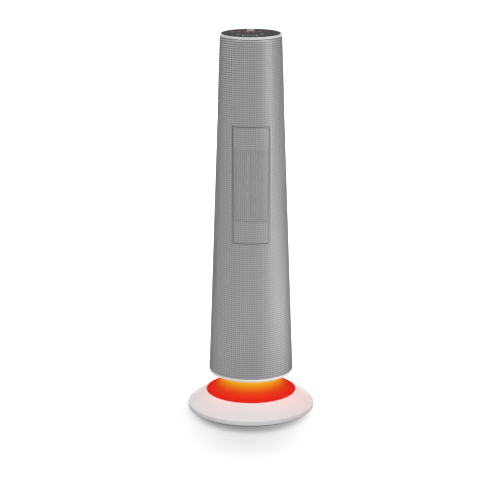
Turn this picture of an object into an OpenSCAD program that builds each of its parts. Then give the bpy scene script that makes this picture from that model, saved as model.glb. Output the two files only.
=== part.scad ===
// Tower ceramic heater that stands and swings on a round base with a glowing collar.
// Millimetres, +Z up. The origin is on the floor under the middle of the base, and the outlet faces -Y.

/* [Base] */
// Diameter of the base at its rim
base_d = 236; // [226:1:256]
// Height of the upright band round the rim
rim_h = 7.8; // [6:0.1:11]
// Diameter of the opening in the base shell, where the glowing collar starts
collar_d = 168; // [160:1:174]
// Height of the edge of that opening above the floor
collar_z = 32.7; // [30:0.1:38]
// Wall of the base shell
base_wall = 2.4; // [1.8:0.1:3.2]
// Thickness of the pan that closes the base underneath
pan_t = 2.5; // [2.2:0.1:4]
// How far the rubber feet stand out below the pan
foot_h = 1.5; // [1:0.1:3]
// Diameter of a rubber foot
foot_d = 16; // [12:1:20]
// Number of rubber feet, and of the screws that lie between them
foot_n = 5; // [3:1:7]
// Thickness of the steel ballast ring
ballast_t = 5; // [3:0.5:6]
// Bore of the gland that the mains lead comes in through
lead_bore_d = 7.4; // [6.4:0.1:8.4]

/* [Glowing collar] */
// Diameter of the collar at its neck, under the tower
neck_d = 80; // [74:1:88]
// Wall of the collar
glow_t = 2; // [1.6:0.1:2.6]
// Curve of the collar's flare, where 1 is a plain cone
flare_power = 1.42; // [1.2:0.02:1.8]
// Number of light chips under the collar
chip_n = 24; // [12:1:30]

/* [Tower] */
// Height of the whole heater
total_h = 705.4; // [690:0.2:760]
// Height of the tower's underside above the floor
tower_z = 70.7; // [68:0.1:80]
// Diameter of the perforated skin at its lower edge
skin_low_d = 156.1; // [152:0.1:164]
// Diameter of the perforated skin at its upper edge
skin_top_d = 112; // [110:0.1:122]
// Thickness of the perforated sheet
skin_t = 0.8; // [0.5:0.1:1]
// Height of the white trim ring under the skin
low_ring_h = 5.4; // [4.6:0.1:8]
// Distance from the skin's upper edge to the top of the heater
top_ring_h = 4.6; // [4:0.1:6]
// Wall of the two inner shells
shell_wall = 2; // [1.6:0.1:2.4]
// Thickness of the plate that closes the tower underneath
floor_t = 3; // [2.4:0.1:4]
// Width of the strip that covers the skin's seam at the back
spine_w = 26; // [24:1:32]

/* [Outlet] */
// Width of the window in the skin
outlet_w = 66.8; // [60:0.2:70]
// Height of the window's lower edge above the floor
outlet_z = 331.6; // [320:0.2:340]
// Height of the window itself
outlet_h = 214.2; // [196:0.2:216]
// Dark gap all round the outlet grille
outlet_gap = 1.6; // [0.8:0.1:2.4]
// Columns of gaps in the outlet grille
grille_columns = 7; // [5:1:8]
// Rows of gaps in the outlet grille
grille_rows = 25; // [18:1:30]
// Width of the web between two gaps of the grille
grille_web = 2.2; // [1.6:0.1:3]

/* [Heater and fan] */
// Width of the heating element's opening
heater_w = 57.4; // [50:0.2:58]
// Height of the heating element's opening
heater_h = 137; // [120:1:138]
// Depth of the heating element
heater_depth = 18; // [14:1:20]
// Number of ceramic heating tubes
tube_n = 3; // [2:1:4]
// Thickness of a heating tube
tube_t = 5; // [4:0.2:6]
// Distance from one run of the folded aluminium fins to the next
fin_pitch = 3.2; // [2.6:0.1:5]
// Diameter of the cross-flow fan wheel
fan_d = 48; // [42:1:50]
// Number of blades on the fan wheel
blade_n = 24; // [16:1:30]
// Diameter of the fan shaft
fan_shaft_d = 4; // [3:0.5:6]

/* [Swing drive] */
// Diameter of the hollow spindle that the tower turns on
spindle_d = 34; // [32:0.5:36]
// Swing to each side, in degrees
swing = 35; // [20:1:40]
// Teeth on the fixed gear
gear_teeth = 56; // [54:1:60]
// Teeth on the motor's pinion
pinion_teeth = 14; // [14:1:18]
// Gear module
gear_m = 1; // [0.9:0.05:1.1]
// Diameter of the swing motor
swing_motor_d = 49; // [40:1:50]

/* [Top panel] */
// Thickness of the black control panel
panel_t = 2; // [1.5:0.1:2.2]
// Width of the white ring's lip round the panel
lip_w = 2.7; // [2:0.1:4]
// Length of the power board
board_h = 110; // [90:1:120]

/* [Rocker switch] */
// Height of the rocker switch above the floor
rocker_z = 120; // [110:1:150]
// Tilt of the rocker key to each side, in degrees
rocker_tilt = 8; // [5:1:9]

/* [Tip-over switch] */
// Diameter of the plunger's stem
plunger_d = 8; // [6:0.5:9]
// Travel of the plunger below its pressed height
plunger_travel = 4; // [2:0.5:5]

/* [Hidden] */
$fn = 96;

// Clearances: between fitted pieces, of a running fit, and of a cut past a face
gap = 0.3;
run = 0.05;
past = 1;

// Screws: shank, head, head height, and the pilot hole that they cut their thread in
screw_r = 1.5;
head_r = 3;
head_h = 1.8;
boss_r = 4;
pilot_r = screw_r + 0.02;
screw_free_r = screw_r + 0.2;

// Levels and radii of the base
base_r = base_d / 2;
collar_r = collar_d / 2;
rim_z = foot_h + rim_h;
rim_round = 2;
pan_top = foot_h + pan_t;
pan_r = base_r - base_wall - gap;
slope = (collar_z - rim_z) / (base_r - collar_r);
slope_angle = atan(slope);
slope_drop = base_wall / cos(slope_angle);
lip_h = glow_t + 0.2;
ledge_t = 2;
ledge_w = 3.5;
foot_ring = base_r - 32;
foot_sink = 1.2;
screw_ring = base_r - 17;
half_pitch = 180 / foot_n;

// Mains lead: gland, terminal and the bore up through the pedestal
lead_r = 3.2;
lead_z = pan_top + 9.5;
lead_bend = 14;
lead_join_z = 60;
gland_r = lead_bore_d / 2 + 2.3;
gland_flange_r = gland_r + 1.8;
gland_flange_t = 2;
gland_face = base_r - 4;
gland_back = base_r - 26;
gland_boss_r = gland_r + 2.5;
terminal_size = [24, 16];
terminal_y = gland_back - terminal_size[1] - 18;
terminal_free = 3;

// Pedestal, spindle and the parts stacked on it
spindle_r = spindle_d / 2;
bore_r = 11;
flange_r = 38;
flange_t = 4;
column_r = 28;
shoulder_r = 31;
shoulder_z = tower_z - 2.7;
washer_t = 1.6;
washer_r = spindle_r + 6.5;
stop_r = 2;
stop_ring = washer_r + stop_r + 1.2;
floor_z = tower_z + 0.8;
floor_top = floor_z + floor_t;
hub_r = washer_r + 0.4;
hub_z = shoulder_z + washer_t + 0.1;
hub_top = floor_top + 11.5;
bush_r = spindle_r + 3;
gear_z = hub_top + 1;
gear_t = 7.5;
neck_of_spindle = spindle_r - 3;
ring_groove = 1;
ring_t = 1.4;
spindle_top = gear_z + gear_t + ring_t + 2;
pedestal_screw_ring = 33;

// Gear pair
gear_r = gear_m * gear_teeth / 2;
pinion_r = gear_m * pinion_teeth / 2;
gear_centres = gear_r + pinion_r;
tooth_play = 0.2;
pressure = 20;
addendum = 0.8;
dedendum = 1;
motor_shaft_r = 2.5;
plate_z = spindle_top + 1;
plate_t = 2;
swing_motor_h = 20;
post_r = 4;
post_x = [gear_centres - 16, gear_centres + 12];
post_y = gear_r + 5;

// Collar and lights
neck_r = neck_d / 2;
neck_z = floor_z - 2.3;
flare_z = collar_z - 0.2;
flare_r = collar_r - gap;
flare_steps = 12;
// Tip-over switch
tip_inset = 42;
tip_ring = base_r - tip_inset;
tip_angle = 252;
tip_pos = tip_ring * [cos(tip_angle), sin(tip_angle)];
plunger_r = plunger_d / 2;
guide_r = plunger_r + 3;
guide_top = pan_top + 5;
plunger_collar_z = guide_top + plunger_travel + 0.5;
plunger_collar_t = 2;
cap_t = 2;
spring_z = plunger_collar_z + plunger_collar_t;
spring_h = 8;
cap_z = spring_z + spring_h;
spring_wire = 0.5;
spring_turns = 5;
spring_r = plunger_r - 0.5;
cap_r = guide_r + 4;
ballast_in = tip_ring - cap_r - 13;
ballast_out = foot_ring + foot_d / 2;

// Lights, on a board that lies over the tip-over switch
light_z = cap_z + cap_t + 1;
light_board_t = 1.6;
light_in = flange_r + 4;
light_out = light_in + 20;
chip_ring = light_in + 12;
chip_size = [5, 5, 1.6];
light_post_ring = light_in + 4;
light_post_r = 3;

// Tower cone
skin_z0 = tower_z + low_ring_h;
skin_z1 = total_h - top_ring_h;
shell_inset = 3;
shell_inside = shell_inset + shell_wall;
spine_proud = 0.6;
function skin_r(z) = (skin_low_d + (skin_top_d - skin_low_d) * (z - skin_z0) / (skin_z1 - skin_z0)) / 2;
cone_angle = atan((skin_low_d - skin_top_d) / 2 / (skin_z1 - skin_z0));
floor_r = skin_r(floor_top) - shell_inset;
floor_boss_ring = skin_r(floor_top) - shell_inside - 3.2;
floor_screw_angles = [45, 135, 225, 315];
low_ring_in = floor_boss_ring + head_r + 0.3;

// Heater, its duct and the fan
outlet_top = outlet_z + outlet_h;
grille_border = 2;
bezel_over = 3;
bulkhead_t = 2;
lead_hole_in = 10;
heater_mid = outlet_z + outlet_h / 2;
heater_z0 = heater_mid - heater_h / 2;
heater_z1 = heater_mid + heater_h / 2;
sleeve_t = 1.3;
frame_wall = 3;
frame_half = heater_w / 2 + sleeve_t;
heater_front = sqrt(pow(skin_r(heater_z1 + bulkhead_t) - shell_inside, 2) - pow(frame_half, 2)) - 0.5;
heater_back = heater_front - heater_depth;
heater_y = -(heater_front + heater_back) / 2;
frame_in = frame_half - frame_wall;
tube_depth = heater_depth - 4;
scallop_h = 4.2;
scallop_mid = heater_w * 0.24;
scallop_side = heater_w * 0.334;
fan_r = fan_d / 2;
fan_y = fan_r - 10;
fan_gap = 2.5;
fan_z0 = heater_z0 + 3;
fan_z1 = heater_z1 - 3;
fan_shaft_r = fan_shaft_d / 2;
fan_motor_r = 22;
fan_motor_h = 30;
fan_motor_z = heater_z0 - bulkhead_t - fan_motor_h;
scroll_wall = 2;
duct_half = frame_half - scroll_wall;

// Top ring, panel and display
panel_z = total_h - panel_t;
panel_hole = skin_top_d / 2 - lip_w;
panel_r = panel_hole - 0.2;
ring_top = total_h - 0.5;
top_round = 1.5;
top_screw_ring = skin_top_d / 2 - shell_inside - 2.6;
top_boss_r = 3.4;
top_seat_t = 1;
top_screw_angles = [45, 135, 225, 315];
tray_r = top_screw_ring - 5;
tray_h = 6.4;
display_y = 14;
display_size = [24, 14];
display_board_t = 1.6;
light_holes = [[-33, 11], [-22.5, 13.5], [15.5, 17], [27.5, 18], [-23, -19], [17, -20]];

// Power board and its parts
board_w = 54;
board_t = 1.6;
board_y = 22;
board_z = (heater_z1 + bulkhead_t + panel_z - tray_h - display_board_t - board_h) / 2;
board_post = [board_w / 2 - 5, board_h / 2 - 6];
block_size = [38, 11, 12];
block_z = board_z + board_h * 0.2;
relay_size = [15, 15, 19];
relay_z = board_z + board_h - relay_size[2] - 12;

// Rocker switch, in a frame of its own that lies on the back of the spine
rocker_half = [5.2, 7.4];
rocker_well = [5.6, 8.6];
rocker_flange = [7.5, 10.5];
rocker_flange_t = 1.8;
rocker_body = [6.5, 9.5];
rocker_depth = 14;
rocker_pivot = -2.5;
rocker_pin_r = 1;

// Shell of the tower's cone, from height z0 to z1, whose outside lies inset inside the skin's
module cone_shell(z0, z1, inset, wall) {
    rotate_extrude()
        polygon([
            [skin_r(z0) - inset - wall, z0],
            [skin_r(z0) - inset, z0],
            [skin_r(z1) - inset, z1],
            [skin_r(z1) - inset - wall, z1]
        ]);
}

// Solid cone inside the tower, from height z0 to z1
module cone_solid(z0, z1, inset) {
    rotate_extrude()
        polygon([
            [0, z0],
            [skin_r(z0) - inset, z0],
            [skin_r(z1) - inset, z1],
            [0, z1]
        ]);
}

// Box that is centred across X, and runs from y0 to y1 and from z0 to z1
module span(w, y0, y1, z0, z1) {
    translate([-w / 2, y0, z0])
        cube([w, y1 - y0, z1 - z0]);
}

// Flat ring lying at height z
module washer(r_in, r_out, z, h) {
    translate([0, 0, z])
        difference() {
            cylinder(r = r_out, h = h);
            translate([0, 0, -past])
                cylinder(r = r_in, h = h + 2 * past);
        }
}

// Screw standing on its head at the origin, with its shank up
module screw(length) {
    cylinder(r = head_r, h = head_h);
    cylinder(r = screw_r, h = head_h + length);
}

// Places children n times round the Z axis at a radius
module around(n, radius, first = 0) {
    for (i = [0 : n - 1])
        rotate([0, 0, first + 360 * i / n])
            translate([radius, 0, 0])
                children();
}

// Places children in the rocker switch's frame: X across, Y out of the back, Z up the slope
module on_spine(z) {
    translate([0, skin_r(z) + spine_proud, z])
        rotate([cone_angle, 0, 0])
            children();
}

function unit(v) = v / norm(v);

// Corners of one ring of a tube, square to the direction along it
function ring_points(centre, along, side, r, n) =
    let (u = unit(cross(side, along)), v = cross(along, u))
    [for (k = [0 : n - 1]) centre + r * (cos(360 * k / n) * u + sin(360 * k / n) * v)];

// Round tube of n sides along a list of points, where side is never parallel to the path
module tube(path, r, n, side) {
    last = len(path) - 1;
    rings = [for (i = [0 : last])
        let (along = unit(path[min(i + 1, last)] - path[max(i - 1, 0)]))
        each ring_points(path[i], along, side, r, n)];
    walls = [for (i = [0 : last - 1], k = [0 : n - 1])
        let (a = i * n + k, b = i * n + (k + 1) % n)
        each [[a, a + n, b], [b, a + n, b + n]]];
    start = [for (k = [1 : n - 2]) [0, k, k + 1]];
    end = [for (k = [1 : n - 2]) [last * n, last * n + k + 1, last * n + k]];
    polyhedron(points = rings, faces = concat(walls, start, end));
}

// Point on a smooth curve through a list of points, at share t between points i and i + 1
function curve_point(p, i, t) =
    let (
        a = p[max(i - 1, 0)],
        b = p[i],
        c = p[i + 1],
        d = p[min(i + 2, len(p) - 1)]
    )
    0.5 * (2 * b + (c - a) * t + (2 * a - 5 * b + 4 * c - d) * t * t + (3 * b - a - 3 * c + d) * t * t * t);

function curve(p, steps) = concat(
    [for (i = [0 : len(p) - 2], k = [0 : steps - 1]) curve_point(p, i, k / steps)],
    [p[len(p) - 1]]);

// Angle in degrees that an involute has turned through at radius r, from base circle rb
function involute(rb, r) = let (a = acos(min(1, rb / r))) tan(a) * 180 / PI - a;

// Outline of one flank, from root to tip, as [radius, half-width angle of the tooth]
function flank(teeth) =
    let (
        rp = gear_m * teeth / 2,
        rb = rp * cos(pressure),
        ra = rp + addendum * gear_m,
        rf = rp - dedendum * gear_m,
        start = max(rb, rf),
        half = 90 / teeth - tooth_play / 2 / rp * 180 / PI + involute(rb, rp),
        steps = 4
    )
    concat([[rf, half - involute(rb, start)]],
        [for (k = [0 : steps]) let (r = start + (ra - start) * k / steps) [r, half - involute(rb, r)]]);

function spur_points(teeth, turn) =
    let (f = flank(teeth), n = len(f))
    [for (i = [0 : teeth - 1])
        each concat(
            [for (k = [0 : n - 1])
                let (a = turn + 360 * i / teeth - f[k][1]) f[k][0] * [cos(a), sin(a)]],
            [for (k = [n - 1 : -1 : 0])
                let (a = turn + 360 * i / teeth + f[k][1]) f[k][0] * [cos(a), sin(a)]])];

// Height of the outer surface of the base's slope at radius r
function slope_z(r) = rim_z + (base_r - r) * slope;

// Outline of the base's slope, rounded where it meets the upright band
function rim_arc() =
    let (zc = rim_z - rim_round * (1 - sin(slope_angle)) / cos(slope_angle))
    [for (a = [0 : (90 - slope_angle) / 6 : 90.01 - slope_angle])
        [base_r - rim_round + rim_round * cos(a), zc + rim_round * sin(a)]];

// Top of the collar at share s of the way from its neck out to its edge, and the direction square to it
function flare_at(s) =
    [neck_r + (flare_r - neck_r) * s, flare_z + (neck_z - flare_z) * pow(1 - s, flare_power)];
function flare_square(s) =
    let (d = flare_at(min(1, s + 0.01)) - flare_at(max(0, s - 0.01)))
    unit([-d[1], d[0]]);

module base_pan() {
    color("dimgray")
        difference() {
            union() {
                translate([0, 0, foot_h])
                    cylinder(r = pan_r, h = pan_t);
                around(4, light_post_ring, 45)
                    translate([0, 0, foot_h + past])
                        cylinder(r = light_post_r, h = light_z - foot_h - past);
                translate([tip_pos[0], tip_pos[1], foot_h + past])
                    cylinder(r = guide_r, h = guide_top - foot_h - past);
            }
            around(foot_n, foot_ring)
                cylinder(r = foot_d / 2 + 0.1, h = foot_h + foot_sink);
            around(foot_n, screw_ring, half_pitch) {
                cylinder(r = screw_free_r, h = pan_top + past);
                cylinder(r = head_r + gap, h = foot_h + head_h / 2 + 0.1);
            }
            around(4, pedestal_screw_ring) {
                cylinder(r = screw_free_r, h = pan_top + past);
                cylinder(r = head_r + gap, h = foot_h + head_h / 2 + 0.1);
            }
            translate([tip_pos[0], tip_pos[1], 0])
                cylinder(r = plunger_r + run, h = guide_top + past);
        }
}

module rubber_feet() {
    color("black")
        around(foot_n, foot_ring)
            cylinder(r = foot_d / 2, h = foot_h + foot_sink);
}

module base_shell() {
    ledge_z = collar_z - lip_h;
    inner_r = base_r - (ledge_z - ledge_t - rim_z + slope_drop) / slope;
    color("white")
        difference() {
            union() {
                rotate_extrude()
                    polygon(concat(
                        [[base_r - base_wall, foot_h], [base_r, foot_h]],
                        rim_arc(),
                        [
                            [collar_r, collar_z],
                            [collar_r, ledge_z],
                            [collar_r - ledge_w, ledge_z],
                            [collar_r - ledge_w, ledge_z - ledge_t],
                            [inner_r, ledge_z - ledge_t],
                            [base_r - base_wall, slope_z(base_r - base_wall) - slope_drop]
                        ]));
                intersection() {
                    around(foot_n, screw_ring, half_pitch)
                        translate([0, 0, pan_top])
                            cylinder(r = boss_r, h = collar_z);
                    rotate_extrude()
                        polygon([
                            [0, 0],
                            [base_r - 1, 0],
                            [base_r - 1, slope_z(base_r - 1) - slope_drop / 2],
                            [collar_r, collar_z - slope_drop / 2],
                            [0, collar_z - slope_drop / 2]
                        ]);
                }
                translate([0, gland_back, lead_z])
                    rotate([-90, 0, 0])
                        cylinder(r = gland_boss_r, h = gland_face - gland_back);
            }
            around(foot_n, screw_ring, half_pitch)
                translate([0, 0, pan_top - past])
                    cylinder(r = pilot_r, h = past + 8.5);
            translate([0, gland_back - past, lead_z])
                rotate([-90, 0, 0])
                    cylinder(r = gland_r + run, h = base_r);
            translate([0, gland_face, lead_z])
                rotate([-90, 0, 0])
                    cylinder(r = gland_flange_r + 0.4, h = base_r);
        }
}

module base_screws() {
    color("silver")
        around(foot_n, screw_ring, half_pitch)
            translate([0, 0, foot_h - head_h / 2 + 0.1])
                screw(pan_t + 7);
}

module ballast_ring() {
    color("slategray")
        difference() {
            washer(ballast_in, ballast_out, pan_top, ballast_t);
            span(terminal_size[0] + 2 * terminal_free, terminal_y - terminal_free, base_r, 0, collar_z);
            translate([tip_pos[0], tip_pos[1], 0])
                cylinder(r = cap_r + 2, h = collar_z);
            around(4, light_post_ring, 45)
                cylinder(r = light_post_r + 1, h = collar_z);
        }
}

module cord_gland() {
    color("black")
        translate([0, gland_back, lead_z])
            rotate([-90, 0, 0])
                difference() {
                    union() {
                        cylinder(r = gland_r, h = gland_face - gland_back + gland_flange_t);
                        translate([0, 0, gland_face - gland_back])
                            cylinder(r = gland_flange_r, h = gland_flange_t);
                    }
                    translate([0, 0, -past])
                        cylinder(r = lead_bore_d / 2, h = gland_face);
                }
}

module mains_terminal() {
    color("ivory")
        difference() {
            span(terminal_size[0], terminal_y, terminal_y + terminal_size[1], pan_top, lead_z + lead_r);
            for (x = [-7.5, 0, 7.5])
                translate([x, terminal_y + terminal_size[1] + past, lead_z])
                    rotate([90, 0, 0])
                        cylinder(r = 1.8, h = 7);
        }
}

// Lead from the terminal, under the light board, up the middle of the pedestal
module base_lead() {
    corner = [for (a = [0 : 15 : 90])
        [0, lead_bend - lead_bend * sin(a), lead_z + lead_bend - lead_bend * cos(a)]];
    color("gray")
        tube(concat([[0, terminal_y, lead_z]], corner, [[0, 0, lead_join_z]]), lead_r, 12, [1, 0, 0]);
}

module glow_collar() {
    top = [for (k = [0 : flare_steps]) flare_at(k / flare_steps)];
    under = [for (k = [flare_steps : -1 : 0])
        flare_at(k / flare_steps) - glow_t * flare_square(k / flare_steps)];
    color([1, 0.35, 0.1, 0.8])
        rotate_extrude()
            polygon(concat(top, under));
}

module light_board() {
    color("darkgreen")
        difference() {
            washer(light_in, light_out, light_z, light_board_t);
            around(4, light_post_ring, 45)
                translate([0, 0, light_z - past])
                    cylinder(r = 1.2, h = light_board_t + 2 * past);
        }
}

module light_chips() {
    color("khaki")
        around(chip_n, chip_ring)
            translate([-chip_size[0] / 2, -chip_size[1] / 2, light_z + light_board_t])
                cube(chip_size);
}

module pedestal() {
    color("darkgray")
        difference() {
            union() {
                rotate_extrude()
                    polygon([
                        [bore_r, pan_top],
                        [flange_r, pan_top],
                        [flange_r, pan_top + flange_t],
                        [column_r, pan_top + flange_t + 6],
                        [column_r, shoulder_z - 5],
                        [shoulder_r, shoulder_z - 2],
                        [shoulder_r, shoulder_z],
                        [spindle_r, shoulder_z],
                        [spindle_r, gear_z],
                        [neck_of_spindle, gear_z],
                        [neck_of_spindle, gear_z + gear_t],
                        [neck_of_spindle - ring_groove, gear_z + gear_t],
                        [neck_of_spindle - ring_groove, gear_z + gear_t + ring_t + 0.1],
                        [neck_of_spindle, gear_z + gear_t + ring_t + 0.1],
                        [neck_of_spindle, spindle_top],
                        [bore_r, spindle_top]
                    ]);
                translate([0, stop_ring, shoulder_z - past])
                    cylinder(r = stop_r, h = floor_top - 1 - shoulder_z + past);
            }
            translate([0, 0, lead_z])
                rotate([-90, 0, 0])
                    cylinder(r = lead_r + 1.8, h = flange_r + past);
            around(4, pedestal_screw_ring)
                cylinder(r = pilot_r, h = pan_top + flange_t + 6);
        }
}

module pedestal_screws() {
    color("silver")
        around(4, pedestal_screw_ring)
            translate([0, 0, foot_h - head_h / 2 + 0.1])
                screw(pan_t + flange_t);
}

module thrust_washer() {
    color("white")
        washer(spindle_r + 0.2, washer_r, shoulder_z, washer_t);
}

module fixed_gear() {
    color("ivory")
        translate([0, 0, gear_z])
            difference() {
                linear_extrude(height = gear_t)
                    polygon(spur_points(gear_teeth, 180 / gear_teeth));
                translate([0, 0, -past])
                    cylinder(r = neck_of_spindle + 0.02, h = gear_t + 2 * past);
            }
}

module retaining_ring() {
    color("silver")
        difference() {
            washer(neck_of_spindle - ring_groove + 0.05, neck_of_spindle + 4,
                gear_z + gear_t + 0.03, ring_t);
            translate([-3, 0, gear_z])
                cube([6, 40, gear_t + ring_t + past]);
        }
}

// Cap over the plunger with its spring inside, and the switch on its side
module tip_switch() {
    body = [16, 6.4, 10];
    color("dimgray")
        translate([tip_pos[0], tip_pos[1], 0])
            difference() {
                union() {
                    translate([0, 0, pan_top])
                        cylinder(r = cap_r, h = cap_z + cap_t - pan_top);
                    translate([guide_r, -body[1] / 2, cap_z - body[2]])
                        cube(body);
                }
                translate([0, 0, pan_top - past])
                    cylinder(r = cap_r - 2.5, h = cap_z - pan_top + past);
            }
}

module tip_plunger() {
    color("white")
        translate([tip_pos[0], tip_pos[1], 0]) {
            cylinder(r = plunger_r, h = plunger_collar_z + past);
            translate([0, 0, plunger_collar_z])
                cylinder(r = guide_r, h = plunger_collar_t);
        }
}

module plunger_spring() {
    turns = [for (k = [0 : 10 * spring_turns])
        [
            tip_pos[0] + spring_r * cos(36 * k),
            tip_pos[1] + spring_r * sin(36 * k),
            spring_z + spring_wire + (spring_h - 2 * spring_wire) * k / (10 * spring_turns)
        ]];
    color("silver")
        tube(turns, spring_wire, 6, [0, 0, 1]);
}

module tower_floor() {
    color("gainsboro")
        difference() {
            union() {
                translate([0, 0, floor_z])
                    cylinder(r = floor_r, h = floor_t);
                translate([0, 0, hub_z])
                    cylinder(r = hub_r, h = hub_top - hub_z);
                for (x = post_x, y = [-post_y, post_y])
                    translate([x, y, floor_z + past])
                        cylinder(r = post_r, h = plate_z - floor_z - past);
            }
            translate([0, 0, hub_z - past])
                cylinder(r = bush_r + 0.05, h = hub_top);
            translate([0, 0, floor_z - past])
                rotate([0, 0, 90 - swing - 6])
                    rotate_extrude(angle = 2 * swing + 12)
                        translate([stop_ring - stop_r - 0.5, 0])
                            square([2 * stop_r + 1, floor_t + 2 * past]);
            for (a = floor_screw_angles)
                rotate([0, 0, a])
                    translate([floor_boss_ring, 0, floor_z - past]) {
                        cylinder(r = screw_free_r, h = floor_t + 2 * past);
                        cylinder(r = head_r + gap, h = past + 1);
                    }
            for (x = post_x, y = [-post_y, post_y])
                translate([x, y, plate_z - 8])
                    cylinder(r = pilot_r, h = 10);
        }
}

module pivot_bush() {
    color("white")
        washer(spindle_r + run, bush_r, hub_z, gear_z - hub_z - 0.1);
}

module floor_screws() {
    color("silver")
        for (a = floor_screw_angles)
            rotate([0, 0, a])
                translate([floor_boss_ring, 0, floor_z + 1 - head_h])
                    screw(floor_t + 6);
}

module low_ring() {
    outer = skin_r(skin_z0);
    round_r = 2.6;
    color("white")
        rotate_extrude()
            polygon(concat(
                [
                    [floor_r + gap, skin_z0],
                    [floor_r + gap, floor_z - 0.05],
                    [low_ring_in, floor_z - 0.05],
                    [low_ring_in, tower_z]
                ],
                [for (a = [-65 : 13 : 0])
                    [outer - round_r + round_r * cos(a), tower_z + round_r * (sin(a) + sin(65))]],
                [[outer, skin_z0]]));
}

module swing_bracket() {
    mid = (post_x[0] + post_x[1]) / 2;
    long = post_x[1] - post_x[0] + 2 * post_r + 2;
    color("lightsteelblue")
        difference() {
            translate([mid - long / 2, -post_y - post_r - 1, plate_z])
                cube([long, 2 * (post_y + post_r + 1), plate_t]);
            translate([gear_centres, 0, plate_z - past])
                cylinder(r = 6.2, h = plate_t + 2 * past);
            for (x = post_x, y = [-post_y, post_y])
                translate([x, y, plate_z - past])
                    cylinder(r = screw_free_r, h = plate_t + 2 * past);
        }
}

module swing_motor() {
    color("silver")
        translate([gear_centres, 0, plate_z])
            difference() {
                union() {
                    cylinder(r = 6, h = plate_t + past);
                    translate([0, 0, plate_t])
                        cylinder(r = swing_motor_d / 2, h = swing_motor_h);
                }
                translate([0, 0, -past])
                    cylinder(r = motor_shaft_r + run, h = plate_t + 12);
            }
}

module swing_screws() {
    color("silver")
        for (x = post_x, y = [-post_y, post_y])
            translate([x, y, plate_z + plate_t + head_h])
                mirror([0, 0, 1])
                    screw(plate_t + 5);
}

module drive_pinion() {
    color("ivory")
        translate([gear_centres, 0, gear_z]) {
            linear_extrude(height = gear_t)
                polygon(spur_points(pinion_teeth, pinion_teeth % 2 == 0 ? 0 : 180 / pinion_teeth));
            translate([0, 0, gear_t - past])
                cylinder(r = motor_shaft_r, h = plate_z - gear_z - gear_t + plate_t + 9);
        }
}

// Parts that both inner shells have: the cone's wall, ledges under the bulkheads, and screw bosses
module inner_shell_whole() {
    z1 = skin_z1 - 0.3;
    cone_shell(floor_top, z1, shell_inset, shell_wall);
    for (z = [heater_z0 - bulkhead_t, heater_z1])
        cone_shell(z - 3, z, shell_inside - 0.5, 3.5);
    intersection() {
        cone_solid(floor_top, z1, shell_inset + 0.5);
        union() {
            for (a = floor_screw_angles)
                rotate([0, 0, a])
                    translate([floor_boss_ring, 0, floor_top])
                        cylinder(r = boss_r, h = 12);
            for (a = top_screw_angles)
                rotate([0, 0, a])
                    translate([top_screw_ring, 0, z1 - 12])
                        cylinder(r = top_boss_r, h = 12);
            for (z = lug_z, s = [-1, 1])
                translate([s * lug_x(z), 0, z])
                    cube([7, 2 * lug_reach, 9], center = true);
        }
    }
}

lug_rise = 60;
lug_z = [skin_z0 + lug_rise, (skin_z0 + heater_z0) / 2 + lug_rise, heater_z1 + lug_rise];
lug_reach = 8;
function lug_x(z) = skin_r(z) - shell_inside - 2.5;

// Pilot holes in the inner shells' bosses and lugs
module inner_shell_holes() {
    for (a = floor_screw_angles)
        rotate([0, 0, a])
            translate([floor_boss_ring, 0, floor_top - past])
                cylinder(r = pilot_r, h = past + 8);
    for (a = top_screw_angles)
        rotate([0, 0, a])
            translate([top_screw_ring, 0, skin_z1 - 9])
                cylinder(r = pilot_r, h = 10);
    for (z = lug_z, s = [-1, 1])
        translate([s * lug_x(z), -past, z])
            rotate([-90, 0, 0])
                cylinder(r = pilot_r, h = lug_reach - 2);
}

module inner_shell_front() {
    half = outlet_w / 2 + bezel_over;
    color([0.25, 0.25, 0.26])
        difference() {
            intersection() {
                inner_shell_whole();
                span(2 * skin_low_d, -skin_low_d, -0.05, 0, total_h);
            }
            inner_shell_holes();
            for (z = lug_z, s = [-1, 1])
                translate([s * lug_x(z), -lug_reach - past, z])
                    rotate([-90, 0, 0]) {
                        cylinder(r = screw_free_r, h = lug_reach + 2 * past);
                        cylinder(r = head_r + 0.2, h = past + head_h);
                    }
            span(2 * half, -skin_low_d, 0, outlet_z - bezel_over, outlet_top + bezel_over);
        }
}

module inner_shell_rear() {
    rows = 4;
    row_h = (heater_z1 - heater_z0 - 12) / rows;
    color([0.25, 0.25, 0.26])
        difference() {
            union() {
                intersection() {
                    inner_shell_whole();
                    span(2 * skin_low_d, 0.05, skin_low_d, 0, total_h);
                }
                intersection() {
                    cone_solid(board_z - 20, board_z + board_h + 20, shell_inset + 0.5);
                    for (s = [-1, 1], t = [-1, 1])
                        translate([
                            s * board_post[0],
                            board_y + board_t,
                            board_z + board_h / 2 + t * board_post[1]
                        ])
                            rotate([-90, 0, 0])
                                cylinder(r = 3, h = skin_low_d);
                }
            }
            inner_shell_holes();
            for (k = [0 : rows - 1], a = [-48 : 12 : 48])
                rotate([0, 0, a])
                    translate([-2, fan_r, heater_z0 + 6 + k * row_h])
                        cube([4, skin_low_d, row_h - 5]);
            on_spine(rocker_z)
                translate([-rocker_body[0] - gap, -rocker_depth - past, -rocker_body[1] - gap])
                    cube([2 * (rocker_body[0] + gap), rocker_depth + 10, 2 * (rocker_body[1] + gap)]);
        }
}

module shell_screws() {
    color("silver")
        for (z = lug_z, s = [-1, 1])
            translate([s * lug_x(z), -lug_reach, z])
                rotate([-90, 0, 0])
                    screw(2 * lug_reach - 5);
}

module perforated_skin() {
    color("darkgray")
        difference() {
            cone_shell(skin_z0, skin_z1, 0, skin_t);
            span(outlet_w, -skin_low_d, 0, outlet_z, outlet_top);
            span(spine_w + 2 * gap, 0, skin_low_d, 0, total_h);
        }
}

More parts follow.
